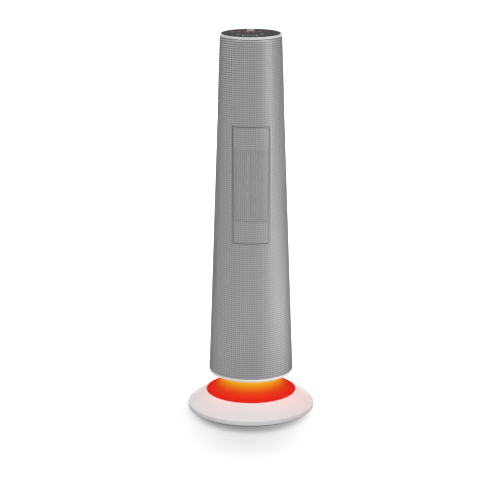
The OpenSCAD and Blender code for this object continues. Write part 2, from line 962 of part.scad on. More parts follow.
module rear_spine() {
    color("gray")
        difference() {
            intersection() {
                cone_shell(skin_z0, skin_z1, -spine_proud, spine_proud + shell_inset - gap);
                span(spine_w, 0, skin_low_d, 0, total_h);
            }
            on_spine(rocker_z)
                translate([-rocker_body[0] - 0.1, -10, -rocker_body[1] - 0.1])
                    cube([2 * rocker_body[0] + 0.2, 20, 2 * rocker_body[1] + 0.2]);
        }
}

module outlet_grille() {
    w = outlet_w - 2 * outlet_gap;
    h = outlet_h - 2 * outlet_gap;
    pitch_x = (w - 2 * grille_border + grille_web) / grille_columns;
    pitch_z = (h - 2 * grille_border + grille_web) / grille_rows;
    color("darkgray")
        difference() {
            intersection() {
                cone_shell(outlet_z, outlet_top, 0, skin_t);
                span(w, -skin_low_d, 0, outlet_z + outlet_gap, outlet_top - outlet_gap);
            }
            for (i = [0 : grille_columns - 1], k = [0 : grille_rows - 1])
                translate([
                    -w / 2 + grille_border + i * pitch_x,
                    -skin_low_d,
                    outlet_z + outlet_gap + grille_border + k * pitch_z
                ])
                    cube([pitch_x - grille_web, skin_low_d, pitch_z - grille_web]);
        }
}

// Curved plate behind the grille, with a rim that the grille rests on, a window with two rounded
// humps in its lower edge, and a sleeve from the window back to the heater
module heater_bezel() {
    w = outlet_w + 2 * bezel_over - 2 * gap;
    z0 = outlet_z - bezel_over + gap;
    z1 = outlet_top + bezel_over - gap;
    rim_w = 1.6;
    sill = heater_z0 + sleeve_t + 0.1;
    hump_top = sill + scallop_h;
    color([0.25, 0.25, 0.26])
        difference() {
            union() {
                intersection() {
                    cone_shell(z0, z1, shell_inset, shell_wall);
                    span(w, -skin_low_d, 0, z0, z1);
                }
                intersection() {
                    cone_solid(heater_z0, heater_z1, shell_inset + 0.5);
                    span(2 * frame_half, -skin_low_d, -heater_front, heater_z0 + 0.1, heater_z1 - 0.1);
                }
                difference() {
                    intersection() {
                        cone_shell(outlet_z, outlet_top, skin_t + 0.05, shell_inset - skin_t + 0.45);
                        span(outlet_w - 2 * outlet_gap, -skin_low_d, 0,
                            outlet_z + outlet_gap, outlet_top - outlet_gap);
                    }
                    span(outlet_w - 2 * outlet_gap - 2 * rim_w, -skin_low_d, 0,
                        outlet_z + outlet_gap + rim_w, outlet_top - outlet_gap - rim_w);
                }
            }
            span(heater_w, -skin_low_d, 0, hump_top, heater_z1 - sleeve_t - 0.1);
            span(2 * (scallop_mid - scallop_h), -skin_low_d, 0, sill, hump_top + past);
            difference() {
                span(heater_w, -skin_low_d, 0, sill, hump_top + past);
                span(2 * (scallop_side + scallop_h), -skin_low_d - past, past, sill - past, hump_top + 2 * past);
            }
            for (x = [scallop_mid - scallop_h, scallop_side + scallop_h], s = [-1, 1])
                translate([s * x, 0, hump_top])
                    rotate([90, 0, 0])
                        cylinder(r = scallop_h, h = skin_low_d);
        }
}

module heater_frame() {
    color([0.16, 0.15, 0.15])
        difference() {
            span(2 * frame_half, -heater_front, -heater_back, heater_z0 + 0.1, heater_z1 - 0.1);
            span(2 * frame_in, -heater_front - past, -heater_back + past,
                heater_z0 + frame_wall, heater_z1 - frame_wall);
            for (i = [0 : tube_n - 1])
                translate([tube_x(i) - 4, heater_y - 1.2, heater_z1 - frame_wall - past])
                    cube([8, 2.4, frame_wall + 2 * past]);
        }
}

fin_w = (2 * frame_in - tube_n * tube_t) / (tube_n + 1);
function tube_x(i) = -frame_in + fin_w + tube_t / 2 + i * (tube_t + fin_w);

module heater_tubes() {
    color("gainsboro")
        for (i = [0 : tube_n - 1])
            translate([tube_x(i) - tube_t / 2, heater_y - tube_depth / 2, heater_z0 + frame_wall])
                cube([tube_t, tube_depth, heater_h - 2 * frame_wall]);
}

// Outline of a strip folded to and fro in an even number of runs, each pitch above the last
function folded(reach, pitch, runs, thick) = concat(
    [for (k = [0 : runs - 2]) each (k % 2 == 0
        ? [[reach, k * pitch], [reach, (k + 1) * pitch + thick]]
        : [[thick - reach, k * pitch + thick], [thick - reach, (k + 1) * pitch]])],
    [[-reach, (runs - 1) * pitch + thick], [-reach, (runs - 1) * pitch]],
    [for (k = [runs - 2 : -1 : 0]) each (k % 2 == 0
        ? [[reach - thick, (k + 1) * pitch], [reach - thick, k * pitch + thick]]
        : [[-reach, (k + 1) * pitch + thick], [-reach, k * pitch]])],
    [[-reach, thick], [-reach, 0]]);

// Aluminium strip folded to and fro between two tubes
module heater_fins() {
    thick = 0.4;
    long = heater_h - 2 * frame_wall - 0.6;
    runs = 2 * floor(long / fin_pitch / 2);
    color("silver")
        for (i = [0 : tube_n])
            translate([
                -frame_in + fin_w / 2 + i * (tube_t + fin_w),
                -(heater_front + heater_back - tube_depth) / 2,
                heater_z0 + frame_wall + 0.3
            ])
                rotate([90, 0, 0])
                    linear_extrude(height = tube_depth)
                        polygon(folded(fin_w / 2 - 0.02, (long - thick) / (runs - 1), runs, thick));
}

module heater_tabs() {
    color("gold")
        for (i = [0 : tube_n - 1])
            translate([tube_x(i) - 3.15, heater_y - 0.4, heater_z1 - frame_wall])
                cube([6.3, 0.8, frame_wall + bulkhead_t + 8]);
}

module thermal_cutout() {
    color("silver")
        translate([frame_half - 10, -heater_back + 8, heater_z1 + bulkhead_t]) {
            cylinder(r = 7, h = 4);
            translate([0, 0, 3])
                cylinder(r = 4.5, h = 5);
        }
}

// Outline of the scroll wall: straight duct side, then a spiral that closes on the wheel at the back
function scroll_line(offset) = concat(
    [[duct_half + offset, -heater_back], [duct_half + offset, fan_y - 2]],
    [for (a = [0 : 10 : 110])
        let (r = duct_half + (fan_r + fan_gap - duct_half) * a / 110 + offset)
        [r * cos(a), fan_y + r * sin(a)]]);

module fan_scroll() {
    outer = scroll_line(scroll_wall);
    inner = scroll_line(0);
    color("dimgray")
        translate([0, 0, heater_z0 + 0.1])
            linear_extrude(height = heater_h - 0.2)
                polygon(concat(inner, [for (k = [len(outer) - 1 : -1 : 0]) outer[k]]));
}

// Tongue on the other side, which parts the fan's inlet from its outlet
module fan_tongue() {
    near = fan_r + fan_gap;
    far = near + scroll_wall;
    lip = [for (a = [215 : -7 : 180]) [near * cos(a), fan_y + near * sin(a)]];
    back = [for (a = [180 : 7 : 215]) [far * cos(a), fan_y + far * sin(a)]];
    color("dimgray")
        translate([0, 0, heater_z0 + 0.1])
            linear_extrude(height = heater_h - 0.2)
                polygon(concat(
                    [[-duct_half, -heater_back]],
                    lip,
                    back,
                    [[-duct_half - scroll_wall, -heater_back + 3],
                        [-duct_half - scroll_wall, -heater_back]]));
}

module bulkhead(z) {
    difference() {
        cone_solid(z, z + bulkhead_t, shell_inside + gap);
        translate([0, fan_y, z - past])
            cylinder(r = 7, h = bulkhead_t + 2 * past);
        for (s = [-1, 1])
            translate([s * (skin_r(z) - shell_inside - lead_hole_in), fan_y, z - past])
                cylinder(r = 5.5, h = bulkhead_t + 2 * past);
    }
}

module lower_bulkhead() {
    color("dimgray")
        bulkhead(heater_z0 - bulkhead_t);
}

module upper_bulkhead() {
    color("dimgray")
        difference() {
            bulkhead(heater_z1);
            for (i = [0 : tube_n - 1])
                translate([tube_x(i) - 4, heater_y - 1.2, heater_z1 - past])
                    cube([8, 2.4, bulkhead_t + 2 * past]);
        }
}

module fan_wheel() {
    disc_t = 1.6;
    root = fan_r - 5.5;
    mid_z = (fan_z0 + fan_z1) / 2;
    color("slategray")
        translate([0, fan_y, 0])
            difference() {
                union() {
                    for (z = [fan_z0, fan_z1 - disc_t])
                        translate([0, 0, z])
                            cylinder(r = fan_r, h = disc_t);
                    washer(root - 2, fan_r, mid_z - disc_t / 2, disc_t);
                    translate([0, 0, fan_z0])
                        cylinder(r = 5, h = 10);
                    translate([0, 0, fan_z1 - 10])
                        cylinder(r = 5, h = 10);
                    translate([0, 0, fan_z0 + disc_t / 2])
                        linear_extrude(height = fan_z1 - fan_z0 - disc_t)
                            for (i = [0 : blade_n - 1])
                                rotate([0, 0, 360 * i / blade_n])
                                    polygon(blade_points(root, fan_r - 0.4));
                }
                translate([0, 0, fan_z0 - past])
                    cylinder(r = fan_shaft_r + 0.02, h = fan_z1 - fan_z0 + 2 * past);
            }
}

// Outline of one curved blade between two radii
function blade_points(r0, r1) =
    let (thick = 0.9, lean = 14, n = 4)
    concat(
        [for (k = [0 : n]) let (r = r0 + (r1 - r0) * k / n, a = lean * pow(k / n, 2)) r * [cos(a), sin(a)]],
        [for (k = [n : -1 : 0])
            let (r = r0 + (r1 - r0) * k / n, a = lean * pow(k / n, 2) + thick / r * 180 / PI)
            r * [cos(a), sin(a)]]);

module fan_shaft() {
    color("silver")
        translate([0, fan_y, fan_motor_z + 5])
            cylinder(r = fan_shaft_r, h = heater_z1 + bulkhead_t + 1 - fan_motor_z - 5);
}

module fan_bush() {
    color("goldenrod")
        translate([0, fan_y, 0]) {
            washer(fan_shaft_r + run, 6.9, heater_z1 - 1, bulkhead_t + 2);
            washer(6, 9, heater_z1 + bulkhead_t, 1);
        }
}

module fan_motor() {
    color("gray")
        translate([0, fan_y, 0])
            difference() {
                union() {
                    translate([0, 0, fan_motor_z])
                        cylinder(r = fan_motor_r, h = fan_motor_h);
                    translate([0, 0, fan_motor_z + fan_motor_h - past])
                        cylinder(r = 6.8, h = bulkhead_t + past);
                }
                translate([0, 0, fan_motor_z + 4])
                    cylinder(r = fan_shaft_r + run, h = fan_motor_h + bulkhead_t + past);
            }
}

module power_board() {
    color("darkgreen")
        span(board_w, board_y, board_y + board_t, board_z, board_z + board_h);
}

module relays() {
    color("black")
        for (s = [-1, 1])
            translate([s * (relay_size[0] / 2 + 4.5), 0, 0])
                span(relay_size[0], board_y - relay_size[1], board_y, relay_z, relay_z + relay_size[2]);
}

module smoothing_capacitor() {
    color("navy")
        translate([14, board_y, board_z + board_h / 2])
            rotate([90, 0, 0])
                cylinder(r = 6.5, h = 22);
}

module terminal_block() {
    color("seagreen")
        difference() {
            span(block_size[0], board_y - block_size[1], board_y, block_z, block_z + block_size[2]);
            for (x = [-15 : 7.5 : 15])
                translate([x, board_y - block_size[1] / 2, block_z - past])
                    cylinder(r = 1.8, h = 8);
        }
}

// Lead from the top of the pedestal, up the side of the tower, to the terminal block
module tower_lead() {
    low_x = -(skin_r(heater_z0) - shell_inside - lead_hole_in);
    high_x = -(skin_r(heater_z1) - shell_inside - lead_hole_in);
    motor_top = plate_z + plate_t + swing_motor_h;
    rise = heater_z0 - motor_top;
    block_y = board_y - block_size[1] / 2;
    route = [
        [0, 0, lead_join_z + 0.5],
        [0, 0, motor_top],
        [-6, 2, motor_top + rise * 0.12],
        [low_x + 12, fan_y - 2, motor_top + rise * 0.28],
        [low_x, fan_y, motor_top + rise * 0.5],
        [low_x, fan_y, heater_z0 - 10],
        [high_x, fan_y, heater_z1 - 20],
        [high_x, fan_y, heater_z1 + 4],
        [-26, block_y, block_z - 12],
        [-15, block_y, block_z - 6],
        [-15, block_y, block_z - 0.05]
    ];
    color("gray")
        tube(curve(route, 4), lead_r * 0.6, 8, [0.2, 1, 0.1]);
}

module rocker_housing() {
    color("black")
        on_spine(rocker_z)
            difference() {
                union() {
                    translate([-rocker_flange[0], 0, -rocker_flange[1]])
                        cube([2 * rocker_flange[0], rocker_flange_t, 2 * rocker_flange[1]]);
                    translate([-rocker_body[0], -rocker_depth, -rocker_body[1]])
                        cube([2 * rocker_body[0], rocker_depth + past / 2, 2 * rocker_body[1]]);
                }
                translate([-rocker_well[0], -rocker_depth + 3, -rocker_well[1]])
                    cube([2 * rocker_well[0], rocker_depth, 2 * rocker_well[1]]);
                translate([-rocker_well[0] - 0.7, rocker_pivot, 0])
                    rotate([0, 90, 0])
                        cylinder(r = rocker_pin_r + run, h = 2 * rocker_well[0] + 1.4);
            }
}

// Key with two flats that meet over its pivot, with its upper end pressed in
module rocker_key() {
    high = rocker_flange_t - rocker_pivot;
    rise = rocker_half[1] * tan(rocker_tilt);
    color("firebrick")
        on_spine(rocker_z)
            translate([0, rocker_pivot, 0])
                rotate([rocker_tilt, 0, 0]) {
                    translate([-rocker_half[0], 0, 0])
                        rotate([90, 0, 90])
                            linear_extrude(height = 2 * rocker_half[0])
                                polygon([
                                    [-3, -rocker_half[1] + 2.5],
                                    [-1, -rocker_half[1]],
                                    [high + rise, -rocker_half[1]],
                                    [high, 0],
                                    [high + rise, rocker_half[1]],
                                    [-1, rocker_half[1]],
                                    [-3, rocker_half[1] - 2.5]
                                ]);
                    rotate([0, 90, 0])
                        cylinder(r = rocker_pin_r, h = 2 * rocker_half[0] + 1.6, center = true);
                }
}

module top_ring() {
    outer = skin_r(skin_z1);
    color("white")
        difference() {
            rotate_extrude()
                polygon(concat(
                    [[tray_r + gap, skin_z1], [outer, skin_z1]],
                    [for (a = [0 : 15 : 90])
                        [outer - top_round * (1 - cos(a)), ring_top - top_round * (1 - sin(a))]],
                    [[panel_hole, ring_top], [panel_hole, panel_z], [tray_r + gap, panel_z]]));
            for (a = top_screw_angles)
                rotate([0, 0, a])
                    translate([top_screw_ring, 0, skin_z1 - past]) {
                        cylinder(r = screw_free_r, h = 10);
                        translate([0, 0, past + top_seat_t])
                            cylinder(r = head_r + 0.2, h = 10);
                    }
        }
}

module top_screws() {
    color("silver")
        for (a = top_screw_angles)
            rotate([0, 0, a])
                translate([top_screw_ring, 0, skin_z1]) {
                    translate([0, 0, top_seat_t])
                        cylinder(r = head_r, h = panel_z - 0.1 - skin_z1 - top_seat_t);
                    translate([0, 0, -7])
                        cylinder(r = screw_r, h = 7 + top_seat_t + past / 2);
                }
}

module control_panel() {
    color("black")
        translate([0, 0, panel_z])
            cylinder(r = panel_r, h = panel_t);
}

module display_tray() {
    color([0.2, 0.2, 0.2])
        difference() {
            translate([0, 0, panel_z - tray_h])
                cylinder(r = tray_r, h = tray_h);
            translate([0, 0, panel_z - tray_h - past]) {
                translate([-display_size[0] / 2 - gap, display_y - display_size[1] / 2 - gap, 0])
                    cube([display_size[0] + 2 * gap, display_size[1] + 2 * gap, tray_h + 2 * past]);
                for (p = light_holes)
                    translate([p[0], p[1], 0])
                        cylinder(r = 3, h = tray_h + 2 * past);
            }
        }
}

module display_board() {
    color("darkgreen")
        translate([0, 0, panel_z - tray_h - display_board_t])
            cylinder(r = tray_r, h = display_board_t);
}

module digit_display() {
    color("black")
        translate([-display_size[0] / 2, display_y - display_size[1] / 2, panel_z - tray_h])
            cube([display_size[0], display_size[1], tray_h]);
}

base_pan();
rubber_feet();
base_shell();
base_screws();
ballast_ring();
cord_gland();
mains_terminal();
base_lead();
glow_collar();
light_board();
light_chips();
pedestal();
pedestal_screws();
thrust_washer();
fixed_gear();
retaining_ring();
tip_switch();
tip_plunger();
plunger_spring();
tower_floor();
pivot_bush();
floor_screws();
low_ring();
swing_bracket();
swing_motor();
swing_screws();
drive_pinion();
inner_shell_front();
inner_shell_rear();
shell_screws();
perforated_skin();
rear_spine();
outlet_grille();
heater_bezel();
heater_frame();
heater_tubes();
heater_fins();
heater_tabs();
thermal_cutout();
lower_bulkhead();
upper_bulkhead();
fan_scroll();
fan_tongue();
fan_wheel();
fan_shaft();
fan_bush();
fan_motor();
power_board();
relays();
smoothing_capacitor();
terminal_block();
tower_lead();
rocker_housing();
rocker_key();
top_ring();
top_screws();
control_panel();
display_tray();
display_board();
digit_display();
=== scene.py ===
# Ceramic tower heater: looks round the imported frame, in metres, with the front facing -Y.
import math

import bmesh
import bpy
import numpy as np
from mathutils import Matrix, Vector


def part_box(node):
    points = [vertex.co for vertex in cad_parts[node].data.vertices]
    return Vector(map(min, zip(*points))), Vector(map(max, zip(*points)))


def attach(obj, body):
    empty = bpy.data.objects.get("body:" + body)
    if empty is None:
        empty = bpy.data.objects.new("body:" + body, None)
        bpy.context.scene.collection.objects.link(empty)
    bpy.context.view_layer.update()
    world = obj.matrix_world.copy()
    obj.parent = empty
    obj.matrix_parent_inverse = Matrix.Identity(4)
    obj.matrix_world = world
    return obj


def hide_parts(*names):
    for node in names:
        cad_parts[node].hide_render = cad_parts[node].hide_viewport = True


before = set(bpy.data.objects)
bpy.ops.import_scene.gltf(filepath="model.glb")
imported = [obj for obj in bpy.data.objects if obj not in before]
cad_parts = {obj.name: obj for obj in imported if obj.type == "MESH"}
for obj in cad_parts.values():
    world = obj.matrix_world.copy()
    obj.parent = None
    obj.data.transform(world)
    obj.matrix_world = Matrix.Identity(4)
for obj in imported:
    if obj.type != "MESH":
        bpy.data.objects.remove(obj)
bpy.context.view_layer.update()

# Camera
# Stands a little over three metres in front of the heater, above its top, and looks down at it through a long lens,
# so that the heater nearly fills the picture's height.
camera = bpy.data.objects.new("camera", bpy.data.cameras.new("camera"))
camera.location = (-0.0018, -3.109, 1.1515)
camera.rotation_euler = (math.radians(74.73), 0, 0)
camera.data.sensor_width = 36
camera.data.lens = 125.5
camera.data.clip_end = 60
bpy.context.scene.collection.objects.link(camera)
bpy.context.scene.camera = camera
bpy.context.scene.view_settings.view_transform = "Standard"

# Floor
# White studio floor that keeps the heater's soft shadow. Three lifts turn it plain white further out: round the
# base's front edge, round the long tail of the shadow before it, and everywhere beyond half a metre.
floor_reach = 14.0
floor_lines = 9
floor_white = 0.7
# Each lift: how the floor is moved and stretched first, the distances where it starts and ends, and its strength.
floor_lifts = (
    ((0, 0.0586, 0), (1, 1.10, 1), 0.083, 0.114, 0.286),
    ((0, 0.1273, 0), (1, 0.341, 1), 0.0, 0.172, 0.218),
    ((0, 0, 0), (1, 1, 1), 0.20, 0.50, 0.60))


def new_material(name):
    """An empty node material, with its node tree and its Principled BSDF."""
    made = bpy.data.materials.new(name)
    made.use_nodes = True
    return made, made.node_tree, made.node_tree.nodes["Principled BSDF"]


def put(tree, kind, inputs=None, **settings):
    """A shader node in a tree. Each input is given by name or number, as a value or as another node's output."""
    made = tree.nodes.new("ShaderNode" + kind)
    for key, value in settings.items():
        setattr(made, key, value)
    for key, value in (inputs or {}).items():
        if isinstance(value, bpy.types.NodeSocket):
            tree.links.new(value, made.inputs[key])
        else:
            made.inputs[key].default_value = value
    return made


def new_mesh(name, points, faces, material, sharp_over=30):
    """An object of these points and faces, shaded smooth up to an angle in degrees between two faces."""
    mesh = bpy.data.meshes.new(name)
    mesh.from_pydata(points.tolist(), [], faces.tolist())
    mesh.shade_smooth()
    mesh.set_sharp_from_angle(angle=math.radians(sharp_over))
    mesh.materials.append(material)
    made = bpy.data.objects.new(name, mesh)
    bpy.context.scene.collection.objects.link(made)
    return made


def grid_faces(rows, columns, round_rows=False, round_columns=False):
    """Quads between points numbered row by row; a round grid also joins its last row or column to its first."""
    r = np.arange(rows if round_rows else rows - 1)[:, None]
    c = np.arange(columns if round_columns else columns - 1)[None, :]
    r2, c2 = (r + 1) % rows, (c + 1) % columns
    return np.stack([r * columns + c, r * columns + c2, r2 * columns + c2, r2 * columns + c], -1).reshape(-1, 4)


def seen_directly(tree):
    """1 where the camera, a reflection or a view through glass meets the surface, and 0 where it lights others."""
    path = put(tree, "LightPath")
    seen = path.outputs["Is Camera Ray"]
    for other in ("Is Glossy Ray", "Is Transmission Ray"):
        seen = put(tree, "Math", {0: seen, 1: path.outputs[other]}, operation="MAXIMUM").outputs[0]
    return seen


white_floor, tree, body = new_material("studio_white")
body.inputs["Base Color"].default_value = (floor_white, floor_white, floor_white, 1)
body.inputs["Roughness"].default_value = 0.9
body.inputs["Specular IOR Level"].default_value = 0.1
body.inputs["Emission Color"].default_value = (1, 1, 1, 1)
where = put(tree, "TexCoord")
lift = None
for shift, stretch, start, end, strength in floor_lifts:
    away = put(tree, "VectorMath", {0: where.outputs["Object"], 1: shift}, operation="ADD")
    reach = put(tree, "VectorMath", {0: away.outputs[0], 1: stretch}, operation="MULTIPLY")
    reach = put(tree, "VectorMath", {0: reach.outputs[0]}, operation="LENGTH")
    ease = put(tree, "MapRange", {"Value": reach.outputs["Value"], "From Min": start, "From Max": end,
                                  "To Max": strength}, interpolation_type="SMOOTHSTEP")
    lift = ease if lift is None else put(tree, "Math", {0: lift.outputs[0], 1: ease.outputs[0]}, operation="ADD")
lift = put(tree, "Math", {0: seen_directly(tree), 1: lift.outputs[0]}, operation="MULTIPLY")
tree.links.new(lift.outputs[0], body.inputs["Emission Strength"])
lines = np.linspace(-floor_reach, floor_reach, floor_lines)
across, along = np.meshgrid(lines, lines)
floor = new_mesh("floor", np.stack([across, along, 0 * across], -1).reshape(-1, 3),
                 grid_faces(floor_lines, floor_lines), white_floor)

# Studio light
# A white sky, a tall softbox on the right for the tower's bright stripe, soft fills in front and behind, and a grey
# card that keeps the metal's left side darker. Two red lamps give the base what the collar's glow throws on it. Two
# softboxes light the floor alone: one throws the base's shadow forward, the other lights what the stripe mirrors.
sky_level = 0.36
glow_red = (1, 0.10, 0.05)
# Each lamp: where it stands, the point that it faces, its width and height, and its power.
soft_lamps = {
    "tall_softbox": ((2.2, -1.05, 0.45), (0, 0, 0.35), (1.3, 1.7), 10.5),
    "front_fill": ((0.0, -2.2, 2.6), (0, 0, 0.2), (2.4, 2.4), 69),
    "rear_fill": ((-0.3, 2.4, 2.2), (0, 0, 0.2), (2.2, 2.2), 12),
    "floor_back": ((0, 3.2, 1.1), (0, 0, 1.1), (6.0, 2.2), 270),
    "floor_side": ((0.8, -0.05, 0.35), (0.8, -0.05, 0), (0.3, 0.6), 5.0),
    "under_glow": ((0, 0, 0.0703), (0, 0, 0), (0.13, 0.13), 0.17),
    "side_glow": ((0.55, 0.16, 0.16), (0.08, 0, 0.02), (0.2, 0.2), 0.50),
}
# Groups that say what a lamp lights, and which pieces shade the floor's own two lamps.
floor_only, not_floor, base_only, not_base = (
    bpy.data.collections.new(name) for name in ("floor_only", "not_floor", "base_only", "not_base"))
floor_only.objects.link(floor)
for name in ("base_shell", "base_pan", "rubber_feet"):
    base_only.objects.link(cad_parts[name])
for kept_out, group in ((floor, not_floor), (floor, not_base), (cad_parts["base_shell"], not_base)):
    group.objects.link(kept_out)
    group.collection_objects[-1].light_linking.link_state = "EXCLUDE"
for name, (stand, target, size, power) in soft_lamps.items():
    lamp = bpy.data.lights.new(name, "AREA")
    lamp.shape, lamp.size, lamp.size_y, lamp.energy = "RECTANGLE", size[0], size[1], power
    holder = bpy.data.objects.new(name, lamp)
    holder.location = stand
    holder.rotation_euler = (Vector(target) - Vector(stand)).to_track_quat("-Z", "Y").to_euler()
    holder.visible_camera = False
    holder.visible_glossy = name == "tall_softbox"
    holder.light_linking.receiver_collection = not_floor
    if name.startswith("floor"):
        holder.light_linking.receiver_collection = floor_only
        holder.light_linking.blocker_collection = base_only
    if name == "tall_softbox":
        holder.light_linking.receiver_collection = not_base
    if name.endswith("glow"):
        holder.light_linking.receiver_collection = base_only
        lamp.color = glow_red
    bpy.context.scene.collection.objects.link(holder)
card_x, card_half, card_h, card_light = -0.55, 0.9, 0.8, 1.3
grey_card, tree, body = new_material("grey_card")
body.inputs["Base Color"].default_value = (0, 0, 0, 1)
body.inputs["Specular IOR Level"].default_value = 0.0
body.inputs["Emission Color"].default_value = (1, 1, 1, 1)
body.inputs["Emission Strength"].default_value = card_light
card_rim = ((-card_half, 0), (card_half, 0), (card_half, card_h), (-card_half, card_h))
corners = np.array([[card_x, y, z] for y, z in card_rim])
card = new_mesh("grey_card", corners, np.array([[0, 1, 2, 3]]), grey_card)
card.visible_camera = card.visible_diffuse = card.visible_shadow = False
sky = bpy.data.worlds.new("white_sky")
sky.use_nodes = True
tree = sky.node_tree
brightness = put(tree, "Mix", {0: seen_directly(tree), 2: sky_level, 3: 1.0}, data_type="FLOAT")
tree.links.new(brightness.outputs[0], tree.nodes["Background"].inputs["Strength"])
tree.nodes["Background"].inputs["Color"].default_value = (1, 1, 1, 1)
bpy.context.scene.world = sky

# Base pan, ballast and feet
# A moulded grey pan closes the base from below and carries a steel ballast ring. Five rubber feet are pushed into it,
# and five self-tapping screws hold it to the base's shell.
drift_lumps = 11.0


def effect(name, inputs, outputs):
    """A shader node group with named sockets: each input has a type, or a type and a first value."""
    made = bpy.data.node_groups.new(name, "ShaderNodeTree")
    for key, (kind, value) in inputs.items():
        socket = made.interface.new_socket(name=key, in_out="INPUT", socket_type="NodeSocket" + kind)
        if value is not None:
            socket.default_value = value
    for key, kind in outputs.items():
        made.interface.new_socket(name=key, in_out="OUTPUT", socket_type="NodeSocket" + kind)
    return made, made.nodes.new("NodeGroupInput").outputs, made.nodes.new("NodeGroupOutput").inputs


# Surface effect: fine grain over the whole piece and a slow drift of shade, from two noises on Object coordinates.
surface, given, result = effect(
    "grain_and_drift",
    {"Vector": ("Vector", None), "Color": ("Color", (1, 1, 1, 1)), "Roughness": ("Float", 0.5),
     "Grain": ("Vector", (2000, 2000, 2000)), "Grain Roughness": ("Float", 0.1), "Drift": ("Float", 0.05)},
    {"Color": "Color", "Roughness": "Float", "Height": "Float"})
fine_place = put(surface, "VectorMath", {0: given["Vector"], 1: given["Grain"]}, operation="MULTIPLY")
fine = put(surface, "TexNoise", {"Vector": fine_place.outputs[0], "Scale": 1.0, "Detail": 2.0})
slow = put(surface, "TexNoise", {"Vector": given["Vector"], "Scale": drift_lumps, "Detail": 3.0})
shade = put(surface, "Math", {0: slow.outputs["Fac"], 1: 0.5}, operation="SUBTRACT")
shade = put(surface, "Math", {0: shade.outputs[0], 1: given["Drift"], 2: 1.0}, operation="MULTIPLY_ADD")
tinted = put(surface, "VectorMath", {0: given["Color"], "Scale": shade.outputs[0]}, operation="SCALE")
uneven = put(surface, "Math", {0: fine.outputs["Fac"], 1: 0.5}, operation="SUBTRACT")
rough = put(surface, "Math", {0: uneven.outputs[0], 1: given["Grain Roughness"], 2: given["Roughness"]},
            operation="MULTIPLY_ADD", use_clamp=True)
surface.links.new(tinted.outputs[0], result["Color"])
surface.links.new(rough.outputs[0], result["Roughness"])
surface.links.new(fine.outputs["Fac"], result["Height"])


def finished(name, colour, rough, grain=(1500, 1500, 1500), relief=0.00002, uneven=0.12, drift=0.08, **constant):
    """A material with grain and drift. Grain gives how many lumps to a metre along each axis, relief their height
    in metres, and the rest sets the shader's own sockets by name."""
    made, tree, body = new_material(name)
    where = put(tree, "TexCoord")
    grained = put(tree, "Group", node_tree=surface)
    tree.links.new(where.outputs["Object"], grained.inputs["Vector"])
    for key, value in {"Color": (*colour, 1), "Roughness": rough, "Grain": grain, "Grain Roughness": uneven,
                       "Drift": drift}.items():
        grained.inputs[key].default_value = value
    bump = put(tree, "Bump", {"Height": grained.outputs["Height"], "Distance": relief, "Strength": 1.0})
    tree.links.new(grained.outputs["Color"], body.inputs["Base Color"])
    tree.links.new(grained.outputs["Roughness"], body.inputs["Roughness"])
    tree.links.new(bump.outputs[0], body.inputs["Normal"])
    for key, value in constant.items():
        body.inputs[key.replace("_", " ")].default_value = value
    return made


def dress(material, *nodes):
    """Gives CAD nodes their material."""
    for name in nodes:
        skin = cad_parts[name].data.materials
        skin.clear()
        skin.append(material)


dress(finished("pan_plastic", (0.22, 0.22, 0.23), 0.6), "base_pan", "tip_switch")
dress(finished("ballast_steel", (0.30, 0.31, 0.33), 0.5, grain=(700, 700, 700), relief=0.00004, Metallic=1.0),
      "ballast_ring")
dress(finished("foot_rubber", (0.06, 0.06, 0.06), 0.75, grain=(2600, 2600, 2600)), "rubber_feet", "cord_gland")
dress(finished("screw_steel", (0.62, 0.62, 0.63), 0.3, grain=(300, 300, 6000), Metallic=1.0), "base_screws",
      "pedestal_screws", "floor_screws", "swing_screws", "shell_screws", "top_screws", "retaining_ring",
      "plunger_spring", "fan_shaft")

# White shells
# Smooth white mouldings: the base's disc, and the rings at the foot and the head of the tower, which hold the sheet's
# ends. The three are one white plastic. The head ring's white is painted darker as painted shade, the foot ring's is
# painted lighter as painted light, and their gloss differs a little.
shell_rough = 0.28
shell_finish = {"grain": (900, 900, 900), "relief": 0.000001, "uneven": 0.05, "drift": 0.02}
# Painted light and shade: the foot ring's white is set lighter and the head ring's darker than the base's.
for name, colour, gloss, node in (("white_shell", (0.80, 0.79, 0.785), 0.12, "base_shell"),
                                  ("low_white_painted_light", (0.88, 0.87, 0.865), 0.30, "low_ring"),
                                  ("top_white_painted_shade", (0.64, 0.635, 0.63), 0.40, "top_ring")):
    dress(finished(name, colour, shell_rough, Specular_IOR_Level=gloss, **shell_finish), node)

# Glowing collar
# Translucent flared moulding over a ring of lights. It glows yellow at its neck and deep red at its rim, a little
# unevenly. Most of its colour is its own light, and the rest is lit as the other pieces are.
neck_r, rim_r = 0.040, 0.0837
glow_share = 0.76
cloud_lumps, cloud_low, cloud_high = 30.0, 0.96, 1.04
# Its colour at each share of the way from the neck to the rim.
glow_stops = {
    0.000: (1.0, 0.78, 0.18), 0.180: (1.0, 0.58, 0.045), 0.255: (0.98, 0.43, 0.016), 0.320: (0.95, 0.310, 0.011),
    0.385: (0.91, 0.208, 0.012), 0.452: (0.87, 0.127, 0.012), 0.520: (0.83, 0.080, 0.011),
    0.592: (0.825, 0.051, 0.011), 0.668: (0.825, 0.036, 0.011), 0.838: (0.820, 0.021, 0.011),
    1.000: (0.80, 0.017, 0.009)}
glow, tree, body = new_material("glow_plastic")
where = put(tree, "SeparateXYZ", {0: put(tree, "TexCoord").outputs["Object"]})
flat = put(tree, "CombineXYZ", {0: where.outputs["X"], 1: where.outputs["Y"]})
radius = put(tree, "VectorMath", {0: flat.outputs[0]}, operation="LENGTH")
share = put(tree, "MapRange", {"Value": radius.outputs["Value"], "From Min": neck_r, "From Max": rim_r})
ramp = put(tree, "ValToRGB", {"Fac": share.outputs[0]})
stops = ramp.color_ramp.elements
for stop in list(stops)[1:]:
    stops.remove(stop)
for number, (at_share, colour) in enumerate(glow_stops.items()):
    stop = stops[0] if number == 0 else stops.new(at_share)
    stop.position, stop.color = at_share, (*colour, 1)
